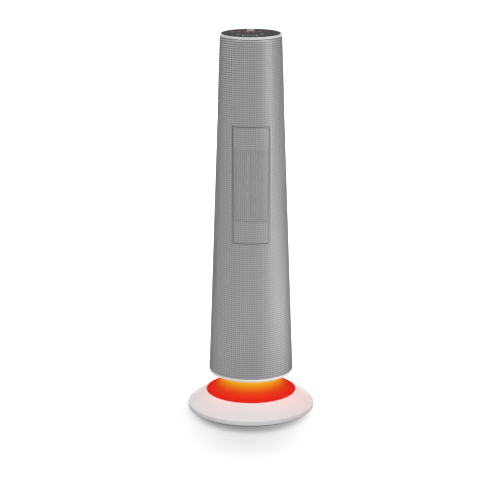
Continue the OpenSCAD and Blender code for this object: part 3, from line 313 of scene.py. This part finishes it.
cloud = put(tree, "TexNoise", {"Vector": put(tree, "TexCoord").outputs["Object"], "Scale": cloud_lumps, "Detail": 2.0})
cloudy = put(tree, "MapRange", {"Value": cloud.outputs["Fac"], "To Min": cloud_low, "To Max": cloud_high})
lit = put(tree, "VectorMath", {0: ramp.outputs["Color"], "Scale": cloudy.outputs[0]}, operation="SCALE")
unlit = put(tree, "VectorMath", {0: ramp.outputs["Color"], "Scale": 1 - glow_share}, operation="SCALE")
tree.links.new(unlit.outputs[0], body.inputs["Base Color"])
tree.links.new(lit.outputs[0], body.inputs["Emission Color"])
body.inputs["Emission Strength"].default_value = glow_share
body.inputs["Roughness"].default_value = 0.5
body.inputs["Specular IOR Level"].default_value = 0.0
dress(glow, "glow_collar")

# Lights and mains under the collar
# A ring-shaped glass-fibre board carries amber light chips. Beside it are the mains terminal and its lead in a woven
# sleeve, which goes up through the pedestal.
board_green = finished("circuit_board", (0.05, 0.25, 0.12), 0.45, grain=(1200, 1200, 1200), Coat_Weight=0.3)
dress(board_green, "light_board", "power_board", "display_board")
dress(finished("light_chip", (0.95, 0.85, 0.45), 0.3, Emission_Color=(1.0, 0.6, 0.2, 1), Emission_Strength=1.0),
      "light_chips")
dress(finished("terminal_plastic", (0.85, 0.84, 0.78), 0.45), "mains_terminal", "terminal_block")
dress(finished("wire_sleeve", (0.45, 0.45, 0.46), 0.55, grain=(3000, 3000, 3000)), "base_lead", "tower_lead")

# Pedestal and swing
# A hollow moulded pedestal is screwed into the base. Bush, washer and gear are of pale bearing plastic, and a small
# steel motor on its bracket walks its pinion round the fixed gear.
dress(finished("frame_plastic", (0.55, 0.55, 0.56), 0.55), "pedestal", "tower_floor", "lower_bulkhead",
      "upper_bulkhead")
dress(finished("bearing_plastic", (0.90, 0.88, 0.82), 0.35, relief=0.00001), "thrust_washer", "pivot_bush",
      "fixed_gear", "drive_pinion", "tip_plunger")
dress(finished("motor_steel", (0.58, 0.59, 0.61), 0.35, grain=(200, 200, 5000), Metallic=1.0), "swing_motor",
      "fan_motor", "swing_bracket", "thermal_cutout")

# Inner shells
# Two dark moulded half shells, screwed together, stand behind the perforated sheet and show through its holes.
dark_grey = (0.20, 0.20, 0.202)
dress(finished("dark_shell", dark_grey, 0.5, relief=0.00001, drift=0.05), "inner_shell_front", "inner_shell_rear",
      "display_tray")

# Perforated sheet
# Silver sheet steel, punched with a square grid of small square holes, then rolled to a cone with its seam at the
# back. A window is cut out of it in front for the outlet panel.
pitch = 0.0039
hole = 0.0025
sheet_t = 0.0008
skin_low_z, skin_high_z = 0.0761, 0.7008
skin_low_r, skin_high_r = 0.07805, 0.0560
window_half, window_low_z, window_high_z = 0.0334, 0.3316, 0.5458
window_columns, window_rows = 18, 55
seam_half = 0.0133
plain_edge = 0.0007
least_hole = 0.25
low_gap, high_gap = 0.0008, 0.0012
slope = math.atan((skin_low_r - skin_high_r) / (skin_high_z - skin_low_z))
apex_z = skin_low_z + skin_low_r / math.tan(slope)
first_row = (apex_z - (window_low_z + window_high_z - window_rows * pitch * math.cos(slope)) / 2) / math.cos(slope)
# Grid lines to each side of the front, and below and above the window's lower edge.
lines_aside, lines_below, lines_above = 64, 68, 101
# Three pieces round the tower, each from one grid line to another.
skin_pieces = {"skin_left": (0, 44), "skin_front": (44, 84), "skin_right": (84, 128)}
# Points nearer than the first are one point, and edges shorter than the second are dropped.
merge_within, least_edge = 0.00002, 0.00001


def roll(across, down):
    """Rolls the flat sheet up: a point keeps its distance from the cone's apex, and its angle there is divided by
    the sine of the cone's half angle. Returns that distance and the angle round the tower from the front."""
    return np.hypot(across, down), np.arctan2(across, down) / math.sin(slope)


def on_cone(reach, angle, inset):
    """The point at a distance from the apex and an angle round the tower, moved inwards along the cone's normal."""
    r = reach * math.sin(slope) - inset * math.cos(slope)
    z = apex_z - reach * math.cos(slope) - inset * math.sin(slope)
    return np.stack([r * np.sin(angle), -r * np.cos(angle), z], -1)


def reach_of(z):
    """Distance from the apex, along the cone, of a height."""
    return (apex_z - z) / math.cos(slope)


def trim(reach, angle, margin):
    """Moves points that lie outside the sheet to its ends and its seam, less a margin."""
    reach = np.clip(reach, reach_of(skin_high_z - high_gap) + margin, reach_of(skin_low_z + low_gap) - margin)
    most = math.pi - np.arcsin((seam_half + margin) / (reach * math.sin(slope)))
    return reach, np.clip(angle, -most, most)


def punch(corners, holes, cells, pierced):
    """A sheet with square holes, as one closed shell. Corners is rows x columns of outer and inner points, holes has
    the four corners of each cell's hole, cells says which cells there are and pierced which have their hole. Each
    cell is a frame of four quads inside and out, with four walls in its hole and a wall at each bare side."""
    rows, columns = cells.shape
    number = np.arange(corners[0][..., 0].size).reshape(rows + 1, columns + 1)
    ring = np.stack([number[:-1, :-1], number[:-1, 1:], number[1:, 1:], number[1:, :-1]], -1)
    inner = number.size
    square = 2 * inner + np.arange(holes[0][..., 0].size).reshape(rows, columns, 4)
    inner_hole = holes[0][..., 0].size
    bare = np.pad(~cells, 1, constant_values=True)
    bare_side = [bare[:-2, 1:-1], bare[1:-1, 2:], bare[2:, 1:-1], bare[1:-1, :-2]]
    framed, plain = cells & pierced, cells & ~pierced
    quads = []
    for a in range(4):
        b = (a + 1) % 4
        A, B, p, q = ring[..., a], ring[..., b], square[..., b], square[..., a]
        quads += [np.stack([A, B, p, q], -1)[framed]]
        quads += [np.stack([A + inner, q + inner_hole, p + inner_hole, B + inner], -1)[framed]]
        quads += [np.stack([q, p, p + inner_hole, q + inner_hole], -1)[framed]]
        quads += [np.stack([B, A, A + inner, B + inner], -1)[cells & bare_side[a]]]
    quads += [ring[plain], (ring + inner)[plain][:, ::-1]]
    points = np.concatenate([part.reshape(-1, 3) for part in (*corners, *holes)])
    faces = np.concatenate(quads)
    used, faces = np.unique(faces, return_inverse=True)
    return points[used], faces.reshape(-1, 4)


def cleaned(piece):
    """Merges the points that trimming has brought together, which also drops the faces between them."""
    work = bmesh.new()
    work.from_mesh(piece.data)
    bmesh.ops.remove_doubles(work, verts=work.verts, dist=merge_within)
    bmesh.ops.dissolve_degenerate(work, edges=work.edges, dist=least_edge)
    work.to_mesh(piece.data)
    work.free()


def hole_corners(across, down):
    """The corners of each cell's hole, in the cell's middle."""
    centre_x = (across[:-1, :-1] + across[1:, 1:]) / 2
    centre_y = (down[:-1, :-1] + down[1:, 1:]) / 2
    half = hole / 2
    return (np.stack([centre_x - half, centre_x + half, centre_x + half, centre_x - half], -1),
            np.stack([centre_y + half, centre_y + half, centre_y - half, centre_y - half], -1))


columns = np.arange(-lines_aside, lines_aside + 1)
rows = np.arange(-lines_below, lines_above + 1)
across, down = np.meshgrid(columns * pitch, first_row - rows * pitch)
raw_reach, raw_angle = roll(across, down)
reach, angle = trim(raw_reach, raw_angle, 0)
hole_reach, hole_angle = trim(*roll(*hole_corners(across, down)), plain_edge)

# The lines next to the window follow its edges.
low, high = np.searchsorted(rows, [0, window_rows])
left, right = np.searchsorted(columns, [-window_columns // 2, window_columns // 2])
for line, z in ((low, window_low_z), (high, window_high_z)):
    reach[line, left:right + 1] = reach_of(z)
for line, side in ((left, -1), (right, 1)):
    angle[low:high + 1, line] = side * np.arcsin(window_half / (reach[low:high + 1, line] * math.sin(slope)))

# A cell is there where any of its corners lies on the sheet, and has its hole where enough of the hole is left.
most = math.pi - np.arcsin(seam_half / (np.clip(raw_reach, reach_of(skin_high_z), None) * math.sin(slope)))
inside = (np.abs(raw_angle) < most) & (raw_reach > reach_of(skin_high_z)) & (raw_reach < reach_of(skin_low_z))
cells = inside[:-1, :-1] | inside[1:, :-1] | inside[:-1, 1:] | inside[1:, 1:]
cells[low:high, left:right] = False
whole = on_cone(hole_reach, hole_angle, 0)
sides = np.linalg.norm(np.roll(whole, -1, axis=2) - whole, axis=-1)
pierced = sides.min(-1) > least_hole * hole
silver = finished("silver_mesh", (0.368, 0.366, 0.364), 0.42, grain=(500, 500, 500), relief=0.000006, uneven=0.08,
                  drift=0.05, Metallic=1.0, Specular_Tint=(0.20, 0.20, 0.20, 1))
for name, (first, last) in skin_pieces.items():
    part = slice(first, last)
    corner_part = (slice(None), slice(first, last + 1))
    points, faces = punch([on_cone(reach[corner_part], angle[corner_part], t) for t in (0, sheet_t)],
                          [on_cone(hole_reach[:, part], hole_angle[:, part], t) for t in (0, sheet_t)],
                          cells[:, part], pierced[:, part])
    piece = new_mesh(name, points, faces, silver)
    cleaned(piece)
    piece.data.set_sharp_from_angle(angle=math.radians(30))
    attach(piece, "tower")
    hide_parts("perforated_skin")

# Painted shadow rings
# A thin black ring, a little behind the sheet's face, fills the gap between the sheet and the white ring at each end.
# It is painted shadow for the dark line under the rings.
shadow_ring_out, shadow_ring_in = 0.0005, 0.0012
low_shadow_ring_h, high_shadow_ring_h = 0.002, 0.003
shadow_ring_points = 120
shadow_black = finished("painted_shadow_black", (0.012, 0.012, 0.012), 0.9, relief=0.00001)
for name, low_z, high_z in (("low_shadow_ring", skin_low_z, skin_low_z + low_shadow_ring_h),
                            ("high_shadow_ring", skin_high_z - high_shadow_ring_h, skin_high_z)):
    turn = np.linspace(0, 2 * math.pi, shadow_ring_points, endpoint=False)
    section = ((shadow_ring_out, low_z), (shadow_ring_out, high_z), (shadow_ring_in, high_z), (shadow_ring_in, low_z))
    points = np.stack([on_cone(np.full(shadow_ring_points, reach_of(z)), turn, inset) for inset, z in section], 1)
    shadow_ring = new_mesh(name, points.reshape(-1, 3), grid_faces(shadow_ring_points, 4, True, True), shadow_black)
    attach(shadow_ring, "tower")

# Outlet panel
# The piece of the same sheet in front of the heater, with a plain border, set in the window with a thin gap round it.
# Over the heater's dark recess behind it, the sheet is painted a little darker as painted shade.
panel_half, panel_low_z, panel_high_z = 0.0318, 0.3332, 0.5442
panel_columns, panel_rows = 17, 54
# The band of painted shade over the heater: its low and high heights, its soft edge, and the share of colour it keeps.
shade_low_z, shade_high_z, shade_soft, shade_share = 0.3700, 0.5040, 0.0025, 0.90
panel_reach = np.linspace(reach_of(panel_low_z), reach_of(panel_high_z), panel_rows + 1)[:, None]
panel_edge = np.arcsin(panel_half / (panel_reach * math.sin(slope)))
panel_angle = panel_edge * np.linspace(-1, 1, panel_columns + 1)
panel_reach = panel_reach + 0 * panel_angle
panel_flat = (panel_reach * np.sin(panel_angle * math.sin(slope)), panel_reach * np.cos(panel_angle * math.sin(slope)))
panel_holes = roll(*hole_corners(*panel_flat))
every = np.ones((panel_rows, panel_columns), bool)


def colour_input(material):
    """The colour socket of a finished material's grain and drift."""
    grained = next(node for node in material.node_tree.nodes if node.type == "GROUP")
    return grained.inputs["Color"]


outlet_silver = silver.copy()
outlet_silver.name = "outlet_mesh"
tree = outlet_silver.node_tree
where = put(tree, "SeparateXYZ", {0: put(tree, "TexCoord").outputs["Object"]})
# Painted shade: the silver's colour is scaled down over the heater's band, with soft edges.
off_middle = put(tree, "Math", {0: where.outputs["Z"], 1: (shade_low_z + shade_high_z) / 2}, operation="SUBTRACT")
off_middle = put(tree, "Math", {0: off_middle.outputs[0]}, operation="ABSOLUTE")
shade_half = (shade_high_z - shade_low_z) / 2
painted_shade = put(tree, "MapRange", {"Value": off_middle.outputs[0], "From Min": shade_half - shade_soft,
                                "From Max": shade_half + shade_soft, "To Min": shade_share, "To Max": 1.0},
             interpolation_type="SMOOTHSTEP")
silver_colour = colour_input(outlet_silver)
shaded = put(tree, "VectorMath", {0: silver_colour.default_value[:3], "Scale": painted_shade.outputs[0]}, operation="SCALE")
tree.links.new(shaded.outputs[0], silver_colour)
points, faces = punch([on_cone(panel_reach, panel_angle, t) for t in (0, sheet_t)],
                      [on_cone(*panel_holes, t) for t in (0, sheet_t)], every, every)
panel = new_mesh("outlet_panel", points, faces, outlet_silver)
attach(panel, "tower")
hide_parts("outlet_grille")

# Seam strip
# A plain strip of the same silver steel lies between the sheet's two edges at the back, a little proud of them. The
# rocker switch's frame goes through it.
dress(finished("silver_trim", (0.32, 0.318, 0.316), 0.4, relief=0.000006, Metallic=1.0,
               Specular_Tint=(0.30, 0.30, 0.30, 1)), "rear_spine")

# Heater
# Three ceramic heating bars stand in a dark frame between packs of thin folded aluminium fins. A black band on the
# bezel round them is painted shade for the dark shadow line in the gap round the outlet panel. Towards its right side
# and its top the band is painted lighter, as painted light that reaches into the gap there.
gap_low_z, gap_high_z, gap_shade_w = 0.3323, 0.5441, 0.0016
gap_shade_black = (0.01, 0.01, 0.01)
# The painted light starts and is full at these places, and leaves this share of the band's black.
lit_right = (0.030, 0.0325, 0.35)
lit_top = (0.540, 0.5435, 0.55)
bezel = finished("bezel_plastic", dark_grey, 0.5, relief=0.00001, drift=0.05)
tree = bezel.node_tree
where = put(tree, "SeparateXYZ", {0: put(tree, "TexCoord").outputs["Object"]})
past_side = put(tree, "Math", {0: where.outputs["X"]}, operation="ABSOLUTE")
past_side = put(tree, "Math", {0: past_side.outputs[0], 1: panel_half}, operation="SUBTRACT")
past_end = put(tree, "Math", {0: where.outputs["Z"], 1: (gap_low_z + gap_high_z) / 2}, operation="SUBTRACT")
past_end = put(tree, "Math", {0: past_end.outputs[0]}, operation="ABSOLUTE")
past_end = put(tree, "Math", {0: past_end.outputs[0], 1: (gap_high_z - gap_low_z) / 2}, operation="SUBTRACT")
outside = put(tree, "Math", {0: past_side.outputs[0], 1: past_end.outputs[0]}, operation="MAXIMUM")
# Painted shade: a black band on the bezel just outside the outlet panel's edge.
gap_shade = put(tree, "Math", {0: outside.outputs[0], 1: gap_shade_w / 2, 2: gap_shade_w / 2}, operation="COMPARE")
# Painted light: the band is lightened towards its right side and its top.
for axis, (start, end, shade_left) in (("X", lit_right), ("Z", lit_top)):
    lit_fade = put(tree, "MapRange", {"Value": where.outputs[axis], "From Min": start, "From Max": end,
                                   "To Min": 1.0, "To Max": shade_left})
    gap_shade = put(tree, "Math", {0: gap_shade.outputs[0], 1: lit_fade.outputs[0]}, operation="MULTIPLY")
gap_shade_colour = put(tree, "Mix", {"Factor": gap_shade.outputs[0], 6: (*dark_grey, 1), 7: (*gap_shade_black, 1)}, data_type="RGBA")
tree.links.new(gap_shade_colour.outputs[2], colour_input(bezel))
dress(bezel, "heater_bezel")
dress(finished("heater_plastic", (0.11, 0.10, 0.10), 0.6), "heater_frame")
dress(finished("heater_ceramic", (0.20, 0.20, 0.20), 0.6, grain=(2500, 2500, 2500)), "heater_tubes")
dress(finished("fin_aluminium", (0.88, 0.88, 0.88), 0.5, grain=(4000, 300, 300), Metallic=0.3), "heater_fins")
dress(finished("tab_brass", (0.70, 0.52, 0.24), 0.35, Metallic=1.0), "heater_tabs", "fan_bush")

# Fan
# A cross-flow wheel of thin curved aluminium blades, held between discs, turns on its shaft between a moulded scroll
# wall and a tongue, which stand between the two bulkheads.
dress(finished("fan_aluminium", (0.30, 0.31, 0.32), 0.4, grain=(300, 300, 3000), Metallic=1.0), "fan_wheel")
dress(finished("duct_plastic", (0.16, 0.16, 0.17), 0.6), "fan_scroll", "fan_tongue")

# Electrics
# Black relays and a capacitor in its blue sleeve are soldered to the power board. At the back a red rocker key tips in
# a black frame that is pushed in through the seam strip.
dress(finished("relay_plastic", (0.05, 0.05, 0.06), 0.35), "relays", "digit_display")
dress(finished("capacitor_sleeve", (0.08, 0.12, 0.32), 0.3), "smoothing_capacitor")
dress(finished("rocker_frame", (0.05, 0.05, 0.05), 0.45), "rocker_housing")
dress(finished("rocker_red", (0.60, 0.05, 0.05), 0.25, Coat_Weight=0.2), "rocker_key")

# Touch panel
# A round gloss black plate lies in the top ring, with red digits and small symbols lit from below, two pale touch
# marks and a slide field in front, and a smoked window at the back. All are printed on the plate.
dress(finished("panel_black", (0.010, 0.010, 0.011), 0.12, grain=(40, 40, 40), relief=0.0, uneven=0.06, IOR=1.02),
      "control_panel")
panel_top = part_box("control_panel")[1].z
print_t, field_t = 0.00004, 0.00002


def arc(centre, r, first, last, count=28):
    """Points along an arc, between two angles in degrees."""
    t = np.radians(np.linspace(first, last, count))
    return np.array(centre) + r * np.stack([np.cos(t), np.sin(t)], -1)


def ribbon(path, width, closed=False, thick=print_t):
    """A flat bar with square ends that follows a path: at each point, half the width to either side along the
    mitre between the two neighbouring directions."""
    path = np.asarray(path, float)
    step = np.diff(np.vstack([path, path[:1]]) if closed else path, axis=0)
    step /= np.linalg.norm(step, axis=1)[:, None]
    before = np.vstack([step[-1:] if closed else step[:1], step if not closed else step[:-1]])
    after = np.vstack([step, step[-1:]]) if not closed else step
    mean = before + after
    mean /= np.linalg.norm(mean, axis=1)[:, None]
    mitre = np.stack([-mean[:, 1], mean[:, 0]], -1) / (mean * after).sum(1)[:, None]
    left, right = path + mitre * width / 2, path - mitre * width / 2
    low, high = panel_top - thick, panel_top + thick
    loops = np.stack([np.column_stack([side, np.full(len(side), z)])
                      for side, z in ((left, high), (left, low), (right, low), (right, high))], 1)
    faces = grid_faces(len(path), 4, closed, True)
    if not closed:
        last = 4 * (len(path) - 1)
        faces = np.vstack([faces, [[3, 2, 1, 0]], [[last, last + 1, last + 2, last + 3]]])
    return loops.reshape(-1, 3), faces


def printed(name, ribbons, material):
    """One piece from several ribbons, on the panel's face."""
    points, faces, start = [], [], 0
    for ribbon_points, ribbon_faces in ribbons:
        points.append(ribbon_points)
        faces.append(ribbon_faces + start)
        start += len(ribbon_points)
    piece = new_mesh(name, np.vstack(points), np.vstack(faces), material)
    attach(piece, "tower")


def lit_print(name, colour, strength):
    """Print that light shines through, a little uneven."""
    return finished(name, colour, 0.4, grain=(900, 900, 900), drift=0.1, relief=0.0, Emission_Color=(*colour, 1),
                    Emission_Strength=strength)


def at(place, path):
    """Moves a path to a place on the panel."""
    return np.array(place) + np.asarray(path)


red_light = lit_print("red_light", (0.70, 0.07, 0.035), 0.45)
dim_red_light = lit_print("dim_red_light", (0.45, 0.05, 0.03), 0.30)
white_light = lit_print("white_light", (0.32, 0.32, 0.32), 0.06)

# Two red seven-segment digits.
digit_w, digit_h, digit_stroke, digit_gap = 0.0058, 0.0105, 0.0015, 0.0008
segments = {"2": "abged", "4": "fgbc"}


def digit(sign, place):
    """A seven-segment digit about a centre, as bars that stop short of each other."""
    w, h = digit_w / 2, digit_h / 2
    ends = {"a": ((-w, h), (w, h)), "b": ((w, h), (w, 0)), "c": ((w, 0), (w, -h)), "d": ((-w, -h), (w, -h)),
            "e": ((-w, 0), (-w, -h)), "f": ((-w, h), (-w, 0)), "g": ((-w, 0), (w, 0))}
    bars = []
    for key in segments[sign]:
        a, b = np.array(ends[key][0]), np.array(ends[key][1])
        along = (b - a) / np.linalg.norm(b - a)
        bars.append(ribbon(at(place, [a + along * digit_gap, b - along * digit_gap]), digit_stroke))
    return bars


printed("lit_digits", digit("2", (-0.0062, 0.014)) + digit("4", (0.0030, 0.014)), red_light)

# Red symbols, from left to right: power, heat, timer and swing. A ring's last point lies just short of its first.
power_at, heat_at, timer_at, swing_at = (-0.033, 0.011), (-0.0225, 0.0135), (0.0155, 0.017), (0.0275, 0.018)
power_w, bold_w, fine_w, thin_w = 0.0011, 0.0010, 0.0009, 0.0008
full_turn = (0, 347)
wave_r, wave_gap, wave_h = 0.0005, 0.0022, 0.0052
wave_x = wave_r * np.sin(np.linspace(0, 2 * math.pi, 12))
wave_y = np.linspace(-wave_h / 2, wave_h / 2, len(wave_x))
arrow = np.array([(0.0032, 0.0018), (0.0026, 0.0003), (0.0010, 0.0006)])
symbols = [
    ribbon(at(power_at, arc((0, 0), 0.0026, 115, 425)), power_w),
    ribbon(at(power_at, [(0, 0.0005), (0, 0.0034)]), power_w),
    *[ribbon(at(heat_at, np.stack([dx + wave_x, wave_y], -1)), fine_w) for dx in (-wave_gap, 0, wave_gap)],
    ribbon(at(timer_at, arc((0, 0), 0.0027, *full_turn)), fine_w, closed=True),
    ribbon(at(timer_at, [(0, 0.0016), (0, 0), (0.0013, 0)]), thin_w),
    ribbon(at(swing_at, arc((0, -0.0012), 0.003, 30, 150)), fine_w),
    *[ribbon(at(swing_at, arrow * (side, 1)), thin_w) for side in (-1, 1)],
]
printed("lit_symbols", symbols, dim_red_light)

# Pale touch marks: minus and plus, each in an oval.
minus_at, plus_at = (-0.0225, -0.017), (0.0195, -0.017)
sign_half, sign_gap = 0.0014, 0.0006
oval = arc((0, 0), 1.0, *full_turn) * (0.0027, 0.0054)
bar = [(-sign_half, 0), (sign_half, 0)]
touch = [
    ribbon(at(minus_at, bar), bold_w),
    ribbon(at(minus_at, oval), thin_w, closed=True),
    ribbon(at(plus_at, bar), bold_w),
    ribbon(at(plus_at, [(0, -sign_half), (0, -sign_gap)]), bold_w),
    ribbon(at(plus_at, [(0, sign_gap), (0, sign_half)]), bold_w),
    ribbon(at(plus_at, oval), thin_w, closed=True),
]
printed("touch_marks", touch, white_light)

# Slide field in its thin line, and the window at the back.
slide_left, slide_right, slide_back, slide_front, slide_w = -0.0147, 0.0111, -0.0245, -0.0480, 0.0011
field_x, field_back, field_w = -0.0018, -0.0252, 0.0240
smoked_x, smoked_front, smoked_back, smoked_w = -0.0005, 0.0265, 0.0465, 0.0130
slide = ribbon([(slide_left, slide_front), (slide_left, slide_back), (slide_right, slide_back),
                (slide_right, slide_front)], slide_w)
printed("slide_line", [slide], lit_print("pale_print", (0.22, 0.22, 0.22), 0.02))
field = ribbon([(field_x, field_back), (field_x, slide_front)], field_w, thick=field_t)
printed("slide_field", [field], finished("slide_grey", (0.080, 0.083, 0.085), 0.3, relief=0.0, IOR=1.02))
smoked = ribbon([(smoked_x, smoked_front), (smoked_x, smoked_back)], smoked_w)
printed("signal_window", [smoked], finished("smoked_window", (0.12, 0.135, 0.13), 0.3, relief=0.0))
